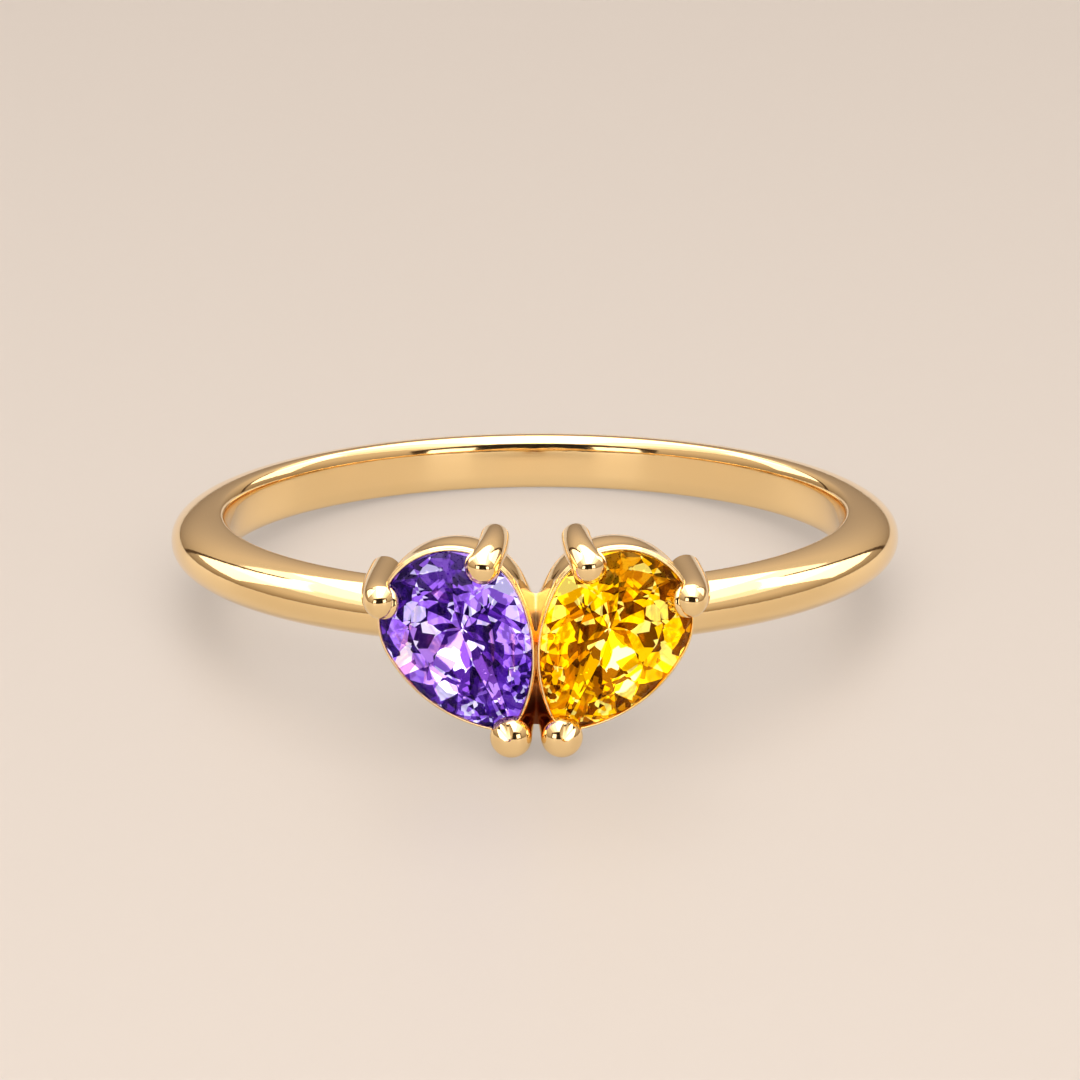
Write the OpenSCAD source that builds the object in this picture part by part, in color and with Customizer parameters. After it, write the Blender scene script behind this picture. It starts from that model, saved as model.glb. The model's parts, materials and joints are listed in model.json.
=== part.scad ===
// A finger ring with a plain half-round band and a heart made of two pear-cut stones.
// It lies on its side as a ring rests on a table: the finger hole faces up and the heart
// faces -Y, standing on its two point claws and on the back of the band.

/* [Band] */
// Inside diameter of the finger hole
finger_d = 17.3; // [15:0.1:21]
// Width of the band along the finger
band_w = 1.58; // [1.3:0.02:2]
// Thickness of the band from the finger outwards
band_t = 1.58; // [1.2:0.02:1.9]
// Rounding of the band's two inner edges
inner_edge = 0.25; // [0.1:0.01:0.4]
// Fullness of the rounded outside, 2 being an ellipse
crown_power = 2.2; // [2:0.1:3.5]

/* [Stones] */
// Widest measure of each pear stone
stone_w = 3.67; // [3.3:0.01:3.8]
// Length of each pear stone from its round end to its point
stone_l = 5.12; // [4.9:0.01:5.4]
// Height of the crown above the girdle
crown_h = 0.54; // [0.4:0.01:0.7]
// Width of the table as a share of the stone
table_share = 0.56; // [0.5:0.01:0.65]
// Thickness of the girdle
girdle_t = 0.09; // [0.06:0.01:0.15]
// Depth of the pavilion below the girdle
pavilion_h = 1.5; // [1.2:0.01:1.55]

/* [Heart] */
// Sideways distance from the middle of the heart to each stone's belly
belly_x = 2.2; // [2.19:0.01:2.4]
// Height of each stone's belly above the middle of the band
belly_v = 0.565; // [0.45:0.005:0.8]
// Lean of each stone, which brings the two points together
lean = 28; // [24:0.5:30]
// Turn of each stone outwards, round the finger
splay = 4; // [2:0.5:7]
// Height of the cups' rims above the outside of the band
head_rise = 1.77; // [1.75:0.01:2.3]

/* [Cups] */
// Thickness of the thin rim beside each stone
rim_wall = 0.07; // [0.05:0.01:0.09]
// Thickness of the cup wall below the rim
cup_wall = 0.1; // [0.1:0.01:0.2]
// Height of the thin rim
rim_h = 0.25; // [0.1:0.01:0.3]
// Narrowing of each cup towards its back, as a share of its width for each millimetre of depth
cup_taper = 0.05; // [0:0.01:0.1]
// Width of the open hole at the back of each cup, as a share of the stone
culet_share = 0.3; // [0.2:0.01:0.35]
// Clearance between each stone and the metal
stone_gap = 0.02; // [0.02:0.005:0.05]

/* [Claws] */
// Radius of the outer claws at the front
outer_claw_r = 0.48; // [0.35:0.01:0.55]
// Radius of the inner claws at the front
inner_claw_r = 0.43; // [0.3:0.01:0.45]
// Radius of the point claws at the front
point_claw_r = 0.55; // [0.4:0.01:0.58]
// Place of the outer claw round its stone, in degrees from the stone's point
outer_claw_turn = 135; // [132:1:145]
// Place of the inner claw round its stone, in degrees from the stone's point
inner_claw_turn = 119; // [115:1:125]
// Height of the rounded claw tips
claw_dome = 0.34; // [0.2:0.01:0.45]
// Width of the small shoulder round each claw tip
claw_shoulder = 0.08; // [0.04:0.01:0.1]

/* [Hidden] */
$fn = 96;

finger_r = finger_d / 2;
band_r = finger_r + band_t;
half_w = band_w / 2;
rim_n = band_r + head_rise;
belly_r = stone_w / 2;
point_s = stone_l - belly_r;
// Each side of the pear is an arc that leaves the round end at the belly and meets its twin at the point.
side_r = (point_s * point_s + belly_r * belly_r) / (2 * belly_r);
side_arc = side_r * asin(point_s / side_r) * PI / 180;
half_outline = side_arc + belly_r * PI / 2;

// The backs of the cups and claws lie on a cylinder round the finger, a little inside the band's crown.
seat_inset = 0.3;
seat_r = band_r - seat_inset;
seat_h = 4 * stone_l;
// The cups and claws are drawn this deep before that cylinder cuts them.
cup_depth = 3.2;
// The hollow for a stone is this much wider than the stone with its clearance, and as much taller
// than the rim.
seat_ease = 0.01;
// The girdle lies just below the rim.
stone_sink = 0.02;
stone_z = -stone_sink - girdle_t / 2;
// Each cup narrows towards this point of its rim, given as a share of the way round the stone, so
// that the wall in the heart's notch stays straight.
straight_share = 0.55;
// The bridge between the cups: its depth below the rims at the top and at the bottom, and the
// heights of its top and bottom above the middle of the band, at its front and at its back
bridge_half_w = 0.6;
bridge_depth = [0.3, 1.0];
bridge_top_v = [0.68, 0.9];
bridge_bend_v = -0.6;
bridge_foot_v = -2.62;

// Girdle points from one main facet to the next, and in all
main_step = 6;
half_step = main_step / 2;
girdle_n = 8 * main_step;
// Points round a cup's wall
wall_n = 64;
// Heights at which neighbouring main facets part, as shares of the crown and of the pavilion
star_share = 0.52;
lower_share = 0.78;

// All eight main facets of the pavilion run to one tip, below the belly.
culet_tips = [for (m = [0 : 7]) [0, 0]];

// Claw axes: how far past the stone's edge each claw stands at its front and at its back
outer_claw_out = [0.1, 0.1];
inner_claw_out = [-0.08, 0.33];
point_claw_out = [0.13, 0.04];
// Turn of the inner claw's back and of the point claw away from their places, in degrees round the stone
inner_claw_twist = 5;
point_claw_turn = -1;
// Heights above the rim of the base of every claw's dome, and of the inner claw's rounded back
claw_z = 0.3;
inner_claw_back_z = -2.05;
// Narrowing of each claw towards its back
claw_taper = 0.04;
// Each point claw has two flats: their steepness, their spread to either side of the direction
// that they face together, that direction's turn from the stone's length, and the share of the
// dome's height at which they meet on the claw's axis
flat_tilt = 45;
flat_spread = 30;
flat_turn = -20;
flat_share = 0.9;
// Steps in the arc of a claw's dome, of the band's inner edges and of half its outside
dome_steps = 8;
edge_steps = 4;
crown_steps = 12;

// The pear's outline at a share a of the way from the point, at 0, to the round end, at 1, grown
// outwards by g. It takes the inner side of the heart where a is above zero, and else the outer side.
function on_side(a) = abs(a) * half_outline < side_arc;
function side_angle(a, g) = (1 - abs(a) * half_outline / side_arc) * acos((side_r - belly_r) / (side_r + g));
function round_angle(a) = (abs(a) * half_outline - side_arc) / belly_r * 180 / PI;
function pear_angle(a, g) = on_side(a) ? side_angle(a, g) : -round_angle(a);
function pear(a, g = 0) =
    let (
        e = pear_angle(a, g),
        r = (on_side(a) ? side_r : belly_r) + g,
        w = r * cos(e) - (on_side(a) ? side_r - belly_r : 0)
    )
    [sign(a) * w, -r * sin(e)];
function pear_normal(a) = a == 0 ? [0, -1] : [sign(a) * cos(pear_angle(a, 0)), -sin(pear_angle(a, 0))];
// Share of the way for point i of n round the whole outline
function share(i, n) = let (j = (i + n) % n) j * 2 / n - (j * 2 > n ? 2 : 0);
function pear_outline(n, g) = [for (i = [0 : n - 1]) pear(share(i, n), g)];

// Where two sloping facet planes cross at height h. Each has a level direction n, a value n * p at
// height 0 and a slope, which is how far it draws in for each unit of height.
function crossing(na, va, ka, nb, vb, kb, h) =
    let (
        ca = va - ka * h,
        cb = vb - kb * h,
        d = na[0] * nb[1] - na[1] * nb[0]
    )
    [(ca * nb[1] - cb * na[1]) / d, (na[0] * cb - nb[0] * ca) / d, h];
// Height at p of the plane through three points
function plane_height(a, b, c, p) =
    let (n = cross(b - a, c - a))
    a[2] - (n[0] * (p[0] - a[0]) + n[1] * (p[1] - a[1])) / n[2];
// Where main facets m and m + 1 meet at height h, if each runs from the girdle to its own tip
function facets_meet(m, g, tips, full_h, h) =
    let (
        a = share(m * main_step, girdle_n),
        b = share((m + 1) * main_step, girdle_n),
        na = pear_normal(a),
        nb = pear_normal(b),
        va = na * pear(a, g),
        vb = nb * pear(b, g)
    )
    crossing(na, va, (va - na * tips[m]) / full_h, nb, vb, (vb - nb * tips[(m + 1) % 8]) / full_h, h);
// Drop of the girdle's edge at point k, which follows the flat half facets and so waves gently
function edge_drop(k, g, meets) =
    let (
        first = k - k % half_step,
        a = pear(share(first, girdle_n), g),
        b = pear(share(first + half_step, girdle_n), g),
        p = pear(share(k, girdle_n), g)
    )
    k % half_step == 0 ? 0 : plane_height([a[0], a[1], 0], [b[0], b[1], 0], meets[floor(k / main_step)], p);

// The band's section, as points with a radius and a height
function power_arc(a, p) = [pow(abs(cos(a)), 2 / p), sign(a) * pow(abs(sin(a)), 2 / p)];
function band_section() =
    let (edge_r = finger_r + inner_edge)
    concat(
        [for (i = [-crown_steps : crown_steps])
            let (q = power_arc(i * 90 / crown_steps, crown_power))
            [edge_r + (band_r - edge_r) * q[0], half_w * q[1]]],
        [for (side = [1, -1], i = [1 : edge_steps])
            let (a = 90 * (side > 0 ? i : edge_steps + 1 - i) / edge_steps)
            [edge_r - inner_edge * sin(a), side * (half_w - inner_edge + inner_edge * cos(a))]]
    );

// A claw's section, as points with a radius and a distance along its axis
function claw_section(length, front_r, round_back) =
    let (top_r = front_r - claw_shoulder, back_r = front_r - claw_taper)
    concat(
        round_back
            ? [for (i = [0 : dome_steps - 1])
                let (a = 90 * i / dome_steps) [back_r * sin(a), back_r * (1 - cos(a))]]
            : [[0, 0]],
        [[back_r, round_back ? back_r : 0]],
        [[front_r, length - claw_shoulder], [front_r - claw_shoulder / 3, length - claw_shoulder / 4]],
        [for (i = [0 : dome_steps - 1])
            let (a = 90 * i / dome_steps) [top_r * cos(a), length + claw_dome * sin(a)]],
        [[0, length + claw_dome]]
    );
// A point at distance s from the pear's belly, turned from the pear's point, and z above the rim
function beside_stone(turn, s, z) = [s * sin(turn), -s * cos(turn), z];
// The same point in the ring's frame, which has the finger's axis along z and the heart at -y
function to_ring(p) =
    let (
        x = p[0] * cos(lean) - p[1] * sin(lean) - belly_x,
        v = p[0] * sin(lean) + p[1] * cos(lean) + belly_v
    )
    [x * cos(splay) - p[2] * sin(splay), -rim_n - x * sin(splay) - p[2] * cos(splay), v];

// The back and front ends of each claw's axis, before the seat cylinder cuts the back off
outer_claw_ends = [
    beside_stone(-outer_claw_turn, belly_r + outer_claw_out[1], -cup_depth),
    beside_stone(-outer_claw_turn, belly_r + outer_claw_out[0], claw_z)
];
inner_claw_ends = [
    beside_stone(inner_claw_turn + inner_claw_twist, belly_r + inner_claw_out[1], inner_claw_back_z),
    beside_stone(inner_claw_turn, belly_r + inner_claw_out[0], claw_z)
];
point_claw_ends = [
    beside_stone(point_claw_turn, point_s + point_claw_out[1], -cup_depth),
    beside_stone(point_claw_turn, point_s + point_claw_out[0], claw_z)
];

// How far a claw reaches in a direction of the ring's frame
function claw_reach(direction, ends, front_r) =
    let (
        start = to_ring(ends[0]),
        span = to_ring(ends[1]) - start,
        along = span / norm(span),
        spread = sqrt(1 - pow(along * direction, 2))
    )
    max([for (p = claw_section(norm(span), front_r, false))
        (start + along * p[1]) * direction + p[0] * spread]);

// The ring rests on its point claws and on the back of the band. The tilt that puts both at one
// height is found by halving an interval.
function claw_low(t) = -claw_reach([0, sin(t), -cos(t)], point_claw_ends, point_claw_r);
function band_low(t) = min([for (p = band_section()) p[1] * cos(t) - p[0] * sin(t)]);
function settle(low, high, steps) =
    let (t = (low + high) / 2)
    steps == 0 ? t : claw_low(t) < band_low(t) ? settle(t, high, steps - 1) : settle(low, t, steps - 1);
rest_tilt = settle(0, 20, 30);
rest_low = band_low(rest_tilt);
forward = [0, -cos(rest_tilt), -sin(rest_tilt)];
front_y = -max(
    claw_reach(forward, outer_claw_ends, outer_claw_r),
    claw_reach(forward, inner_claw_ends, inner_claw_r),
    claw_reach(forward, point_claw_ends, point_claw_r)
);
back_y = max([for (p = band_section()) p[0] * cos(rest_tilt) + p[1] * sin(rest_tilt)]);

module at_rest() {
    translate([0, -(front_y + back_y) / 2, -rest_low])
        rotate([-rest_tilt, 0, 0])
            children();
}

// A cup's own frame: z runs out of the rim, and the pear has its belly at the middle and its point
// at -y. This is the cup at -x, and the other is its mirror image.
module in_cup() {
    translate([0, -rim_n, 0])
        rotate([90, 0, -splay])
            translate([-belly_x, belly_v, 0])
                rotate([0, 0, lean])
                    children();
}

module band() {
    rotate_extrude()
        polygon(band_section());
}

// A solid through level outlines of the pear, from the highest to the lowest. Each level has its
// height, how far its outline is grown, and how much of its size it keeps round a fixed point.
module pear_stack(levels, fixed) {
    last = len(levels) - 1;
    points = [for (level = levels, p = pear_outline(wall_n, level[1]))
        let (q = fixed + (p - fixed) * level[2])
        [q[0], q[1], level[0]]];
    walls = [for (j = [0 : last - 1], i = [0 : wall_n - 1])
        let (k = (i + 1) % wall_n, a = j * wall_n, b = a + wall_n)
        [a + i, a + k, b + k, b + i]];
    caps = [[for (i = [wall_n - 1 : -1 : 0]) i], [for (i = [0 : wall_n - 1]) last * wall_n + i]];
    polyhedron(points = points, faces = concat(walls, caps), convexity = 2);
}

// The cup before it is hollowed: the thin rim, a small ledge and the wall that narrows to the back
module cup_wall_solid() {
    rim_g = stone_gap + rim_wall;
    wall_g = stone_gap + cup_wall;
    back_share = 1 - cup_taper * (cup_depth - rim_h);
    pear_stack(
        [[0, rim_g, 1], [-rim_h, rim_g, 1], [-rim_h, wall_g, 1], [-cup_depth, wall_g, back_share]],
        pear(straight_share, wall_g)
    );
}

// The hollow that a stone sits in: straight past the girdle, then drawn in to the hole at the back
module stone_seat() {
    seat_g = stone_gap + seat_ease;
    pear_stack(
        [
            [seat_ease, seat_g, 1], [stone_z - girdle_t, seat_g, 1],
            [stone_z - pavilion_h, seat_g, culet_share], [-cup_depth - rim_h, seat_g, culet_share]
        ],
        [0, 0]
    );
}

// A pear brilliant: table, 8 stars, 8 kites and 16 halves above the girdle, 16 halves and 8 mains below
module pear_stone(g = 0) {
    crown = crown_h + g;
    pavilion = pavilion_h + g;
    edge = (girdle_t + g) / 2;
    tables = [for (m = [0 : 7]) pear(share(m, 8), g) * table_share];
    stars = [for (m = [0 : 7]) facets_meet(m, g, tables, crown, star_share * crown)];
    lowers = [for (m = [0 : 7]) facets_meet(m, g, culet_tips, pavilion, lower_share * pavilion)];
    girdle = pear_outline(girdle_n, g);
    points = concat(
        [for (p = tables) [p[0], p[1], edge + crown]],
        [for (p = stars) [p[0], p[1], edge + p[2]]],
        [for (k = [0 : girdle_n - 1]) [girdle[k][0], girdle[k][1], edge + edge_drop(k, g, stars)]],
        [for (k = [0 : girdle_n - 1]) [girdle[k][0], girdle[k][1], -edge - edge_drop(k, g, lowers)]],
        [for (p = lowers) [p[0], p[1], -edge - p[2]]],
        [[0, 0, -edge - pavilion]]
    );
    star = 8;
    upper = star + 8;
    under = upper + girdle_n;
    lower = under + girdle_n;
    culet = lower + 8;
    faces = concat(
        [[for (m = [7 : -1 : 0]) m]],
        [for (m = [0 : 7]) [m, (m + 1) % 8, star + m]],
        [for (m = [0 : 7]) [m, star + m, upper + m * main_step, star + (m + 7) % 8]],
        [for (m = [0 : 7], j = [0, half_step])
            concat([star + m], [for (i = [half_step : -1 : 0]) upper + (m * main_step + j + i) % girdle_n])],
        [for (k = [0 : girdle_n - 1])
            [upper + k, upper + (k + 1) % girdle_n, under + (k + 1) % girdle_n, under + k]],
        [for (m = [0 : 7], j = [0, half_step])
            concat([lower + m], [for (i = [0 : half_step]) under + (m * main_step + j + i) % girdle_n])],
        [for (m = [0 : 7]) [culet, lower + (m + 7) % 8, under + m * main_step, lower + m]]
    );
    translate([0, 0, stone_z])
        polyhedron(points = points, faces = faces, convexity = 2);
}

// A round claw from its back end to its front end, with a small shoulder and a domed tip
module claw(ends, front_r, round_back = false) {
    span = ends[1] - ends[0];
    length = norm(span);
    translate(ends[0])
        rotate([0, acos(span[2] / length), atan2(span[1], span[0])])
            rotate_extrude()
                polygon(claw_section(length, front_r, round_back));
}

// The claw over the stone's point has two flats that slope down towards the stone.
module point_claw() {
    difference() {
        claw(point_claw_ends, point_claw_r);
        for (side = [-1, 1])
            translate(point_claw_ends[1] + [0, 0, claw_dome * flat_share])
                rotate([0, flat_tilt, 90 + flat_turn + side * flat_spread])
                    translate([-point_claw_r * 2, -point_claw_r * 2, 0])
                        cube(point_claw_r * 4);
    }
}

// Half of the bridge that joins the two cups and fills the channel between them, a little past the
// middle so that the halves run into each other
module half_bridge() {
    overlap = 0.02;
    top_n = rim_n - bridge_depth[0];
    foot_n = rim_n - bridge_depth[1];
    back_n = seat_r - seat_inset;
    translate([-bridge_half_w, 0, 0])
        rotate([90, 0, 90])
            linear_extrude(height = bridge_half_w + overlap)
                polygon([
                    [-top_n, bridge_top_v[0]], [-top_n, bridge_bend_v], [-foot_n, bridge_foot_v],
                    [-back_n, bridge_foot_v], [-back_n, bridge_top_v[1]]
                ]);
}

module cup_with_claws() {
    difference() {
        union() {
            in_cup() cup_wall_solid();
            in_cup() claw(outer_claw_ends, outer_claw_r);
            in_cup() claw(inner_claw_ends, inner_claw_r, true);
            in_cup() point_claw();
            half_bridge();
        }
        cylinder(h = seat_h, r = seat_r, center = true);
        in_cup() stone_seat();
        in_cup() pear_stone(stone_gap);
    }
}

module band_with_setting() {
    color("gold")
        at_rest()
            union() {
                band();
                cup_with_claws();
                mirror([1, 0, 0])
                    cup_with_claws();
            }
}

module purple_stone() {
    color("mediumpurple")
        at_rest()
            in_cup()
                pear_stone();
}

module yellow_stone() {
    color("orange")
        at_rest()
            mirror([1, 0, 0])
                in_cup()
                    pear_stone();
}

band_with_setting();
purple_stone();
yellow_stone();
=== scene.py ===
"""A finger ring lying on its side: a plain gold band and a heart of two pear-cut stones in gold cups."""

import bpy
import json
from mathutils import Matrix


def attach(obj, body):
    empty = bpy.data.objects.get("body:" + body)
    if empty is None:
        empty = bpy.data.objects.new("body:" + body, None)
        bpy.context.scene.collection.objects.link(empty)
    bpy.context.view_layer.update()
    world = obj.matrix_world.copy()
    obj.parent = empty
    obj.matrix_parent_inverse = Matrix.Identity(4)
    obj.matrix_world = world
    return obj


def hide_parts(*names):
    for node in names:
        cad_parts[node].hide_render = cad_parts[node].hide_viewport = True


bl_info = {
    "name": "Heart Ring",
    "version": (1, 0, 0),
    "blender": (4, 5, 0),
    "location": "3D View > Sidebar > Ring",
    "description": "Finger ring with a heart of two pear-cut stones",
    "category": "Object",
}

import json
import math
import random

import bmesh
import bpy
from bpy.props import FloatProperty, FloatVectorProperty, IntProperty, PointerProperty
from mathutils import Euler, Matrix, Vector

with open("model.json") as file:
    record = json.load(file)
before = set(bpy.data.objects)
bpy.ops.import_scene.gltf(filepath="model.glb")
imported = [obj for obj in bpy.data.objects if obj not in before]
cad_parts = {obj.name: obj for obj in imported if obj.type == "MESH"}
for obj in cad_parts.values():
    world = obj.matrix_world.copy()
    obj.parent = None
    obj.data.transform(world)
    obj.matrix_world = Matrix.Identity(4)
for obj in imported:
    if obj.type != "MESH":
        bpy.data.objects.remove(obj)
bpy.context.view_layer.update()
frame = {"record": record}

MM = 0.001
DEG = math.pi / 180
HOLE = next(m for m in frame["record"]["mounts"] if m["name"] == "finger_hole")
# The heart is the same on both sides: the purple half is drawn, and the yellow half is its mirror image.
SIDES = {"purple": Matrix.Identity(4), "yellow": Matrix.Scale(-1, 4, (1, 0, 0))}


def length(name, description, millimetres):
    """A size property, shown in the scene's length unit."""
    return FloatProperty(
        name=name, description=description, default=millimetres * MM, unit="LENGTH", precision=5
    )


def number(name, description, default):
    """A plain number."""
    return FloatProperty(name=name, description=description, default=default)


def angle(name, description, degrees):
    """An angle property."""
    return FloatProperty(name=name, description=description, default=degrees * DEG, unit="ROTATION")


def factor(name, description, default):
    """A share from 0 to 1."""
    return FloatProperty(name=name, description=description, default=default, min=0, max=1, subtype="FACTOR")


def colour(name, description, default):
    """A colour property in linear values."""
    return FloatVectorProperty(name=name, description=description, default=default, size=3, subtype="COLOR")


class BandSizes(bpy.types.PropertyGroup):
    """Sizes of the plain band."""

    inside: length("Inside radius", "Radius of the finger hole", HOLE["dims"]["r_mm"])
    width: length("Width", "Width of the band along the finger", 1.58)
    thickness: length("Thickness", "Thickness from the finger outwards", 1.577)
    inner_edge: length("Inner edge", "Depth of the rounding of its inner edges", 0.25)
    edge_height: length("Edge height", "Height of that rounding", 0.45)
    fullness: number("Fullness", "Roundness of the outside, 2 is an ellipse", 2.2)
    dip: length("Dip", "Dip of the band's top between the cups", 0.26)
    dip_width: length("Dip width", "Half the width of that dip", 1.1)


class HeartSizes(bpy.types.PropertyGroup):
    """Sizes of the two stones and their places in the heart."""

    stone_width: length("Stone width", "Widest measure of each stone", 3.67)
    stone_length: length("Stone length", "Length from the round end to the point", 5.12)
    crown: length("Crown", "Height of the crown above the girdle", 0.54)
    girdle: length("Girdle", "Thickness of the girdle", 0.09)
    pavilion: length("Pavilion", "Depth of the pavilion below the girdle", 1.5)
    table: factor("Table", "Width of the table as a share of the stone", 0.56)
    belly_x: length("Belly offset", "Distance of each belly from the middle", 2.2)
    belly_v: length("Belly height", "Height of each belly above the middle of the band", 0.565)
    lean: angle("Lean", "Lean that brings the two points together", 28)
    splay: angle("Splay", "Turn of each stone outwards, round the finger", 4)
    rise: length("Rise", "Height of the rims above the outside of the band", 1.77)
    sink: length("Sink", "Depth of each girdle below its rim", 0.02)


class CupSizes(bpy.types.PropertyGroup):
    """Sizes of the two cups and the bridge between them."""

    gap: length("Gap", "Clearance between each stone and the metal", 0.02)
    ease: length("Ease", "Extra width of the hollow over that clearance", 0.01)
    rim: length("Rim", "Thickness of the thin rim", 0.07)
    wall: length("Wall", "Thickness of the wall below the rim", 0.1)
    rim_height: length("Rim height", "Height of the thin rim", 0.25)
    barrel: length("Barrel", "Bulge of the wall halfway down", 0.17)
    tuck: factor("Tuck", "Narrowing at the seat, as a share of that bulge", 0.9)
    taper: number("Taper", "Narrowing for each millimetre of depth", 0.05)
    straight: factor("Straight side", "Share of the way round at which the wall stays straight", 0.55)
    culet: factor("Culet hole", "Width of the hole at the back as a share of the stone", 0.3)
    seat_inset: length("Seat inset", "How far the cups reach into the band's crown", 0.3)


def ring_to_row():
    """The ring's own frame, with the finger's axis along Z and the heart at -Y, as the ring lies at rest."""
    turn = Vector((0, 0, 1)).rotation_difference(Vector(HOLE["axis"]))
    return Matrix.Translation(HOLE["pos_m"]) @ turn.to_matrix().to_4x4()


def cup_to_ring(scene):
    """A cup's own frame: Z runs out of the rim, the pear's belly is at the middle and its point at -Y."""
    band, heart = scene.ring_band, scene.ring_heart
    rim = band.inside + band.thickness + heart.rise
    return (
        Matrix.Translation((0, -rim, 0))
        @ Matrix.Rotation(-heart.splay, 4, "Z")
        @ Matrix.Rotation(math.pi / 2, 4, "X")
        @ Matrix.Translation((-heart.belly_x, heart.belly_v, 0))
        @ Matrix.Rotation(heart.lean, 4, "Z")
    )


class Pear:
    """A pear outline. A share is 0 at the point, 1 at the round end, and negative on the outer side."""

    def __init__(self, heart):
        self.belly = heart.stone_width / 2
        self.point = heart.stone_length - self.belly
        self.side = (self.point**2 + self.belly**2) / (2 * self.belly)
        self.side_arc = self.side * math.asin(self.point / self.side)
        self.half = self.side_arc + self.belly * math.pi / 2

    def on_side(self, share):
        return abs(share) * self.half < self.side_arc

    def turn(self, share, grow=0):
        """Direction in which the outline faces, as an angle from the widest place."""
        run = abs(share) * self.half
        if self.on_side(share):
            return (1 - run / self.side_arc) * math.acos((self.side - self.belly) / (self.side + grow))
        return (self.side_arc - run) / self.belly

    def at(self, share, grow=0):
        """Point of the outline, grown outwards."""
        turn = self.turn(share, grow)
        radius = (self.side if self.on_side(share) else self.belly) + grow
        across = radius * math.cos(turn) - (self.side - self.belly if self.on_side(share) else 0)
        return Vector((math.copysign(across, share) if share else 0, -radius * math.sin(turn)))

    def facing(self, share):
        """Level direction in which the outline faces."""
        if share == 0:
            return Vector((0, -1))
        turn = self.turn(share)
        return Vector((math.copysign(math.cos(turn), share), -math.sin(turn)))

    @staticmethod
    def shares(count):
        """Even steps round the whole outline, from the point."""
        return [i * 2 / count - (2 if i * 2 > count else 0) for i in range(count)]


def turns(steps):
    """Even turns round a circle, from 0."""
    return [2 * math.pi * k / steps for k in range(steps)]


def quarter(steps):
    """Even turns up to a quarter of a circle, without 0."""
    return [math.pi / 2 * k / steps for k in range(1, steps + 1)]


def curve(first, corner, last, share):
    """Place on a curve that leaves the first point towards the corner and comes to the last one from it."""
    return first * (1 - share) ** 2 + corner * 2 * share * (1 - share) + last * share * share


def halve(low, high, is_below, steps=40):
    """The value up to which the test holds, found by halving the range."""
    for _ in range(steps):
        middle = (low + high) / 2
        low, high = (middle, high) if is_below(middle) else (low, middle)
    return low


def grid_faces(rows, columns, close_rows=False, close_columns=True):
    """Quads over a grid of points stored row by row."""
    return [
        (
            r * columns + c,
            r * columns + (c + 1) % columns,
            (r + 1) % rows * columns + (c + 1) % columns,
            (r + 1) % rows * columns + c,
        )
        for r in range(rows if close_rows else rows - 1)
        for c in range(columns if close_columns else columns - 1)
    ]


def capped_faces(rows, columns):
    """Quads over rows of points, with one face over the first row and one over the last."""
    first = tuple(reversed(range(columns)))
    last = tuple(range((rows - 1) * columns, rows * columns))
    return [first, *grid_faces(rows, columns), last]


def add(name, data):
    """Links a new object with that data into the scene."""
    made = bpy.data.objects.new(name, data)
    bpy.context.scene.collection.objects.link(made)
    return made


def make_mesh(name, points, faces, place):
    """An object with that mesh, in place, with its faces turned outwards."""
    mesh = bpy.data.meshes.new(name)
    mesh.from_pydata([place @ Vector(p) for p in points], [], faces)
    body = bmesh.new()
    body.from_mesh(mesh)
    bmesh.ops.recalc_face_normals(body, faces=body.faces)
    body.to_mesh(mesh)
    body.free()
    return add(name, mesh)


def rectangle(name, width, height, place):
    """A flat piece round the middle of its place."""
    x, y = width / 2, height / 2
    return make_mesh(name, [(-x, -y, 0), (x, -y, 0), (x, y, 0), (-x, y, 0)], [(0, 1, 2, 3)], place)


def combine(piece, others, operation):
    """Cuts the other bodies away from the piece, or joins them to it, and deletes them."""
    for other in others:
        step = piece.modifiers.new(operation, "BOOLEAN")
        step.operation = operation
        step.solver = "EXACT"
        step.object = other
    shown = piece.evaluated_get(bpy.context.evaluated_depsgraph_get())
    mesh = bpy.data.meshes.new_from_object(shown)
    piece.modifiers.clear()
    piece.data = mesh
    for other in others:
        bpy.data.objects.remove(other)
    if not mesh.polygons:
        raise RuntimeError(f"{piece.name} has no faces left")


def assign(piece, node):
    """Gives a piece its body and hides the imported solid that it stands for."""
    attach(piece, "root")
    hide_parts(node)


def dress_gold(piece, material, crease=35):
    """Gives a gold piece its finish and smooth shading, with edges over that many degrees kept sharp."""
    piece.data.materials.clear()
    piece.data.materials.append(material)
    piece.data.shade_smooth()
    piece.data.set_sharp_from_angle(angle=crease * DEG)
    assign(piece, "band_with_setting")


class Wire:
    """A socket that takes part in Python expressions. Each operator adds one Math node."""

    def __init__(self, finish, socket):
        self.finish = finish
        self.socket = socket

    def __add__(self, other):
        return self.finish.math("ADD", self, other)

    __radd__ = __add__

    def __mul__(self, other):
        return self.finish.math("MULTIPLY", self, other)

    __rmul__ = __mul__


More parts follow.
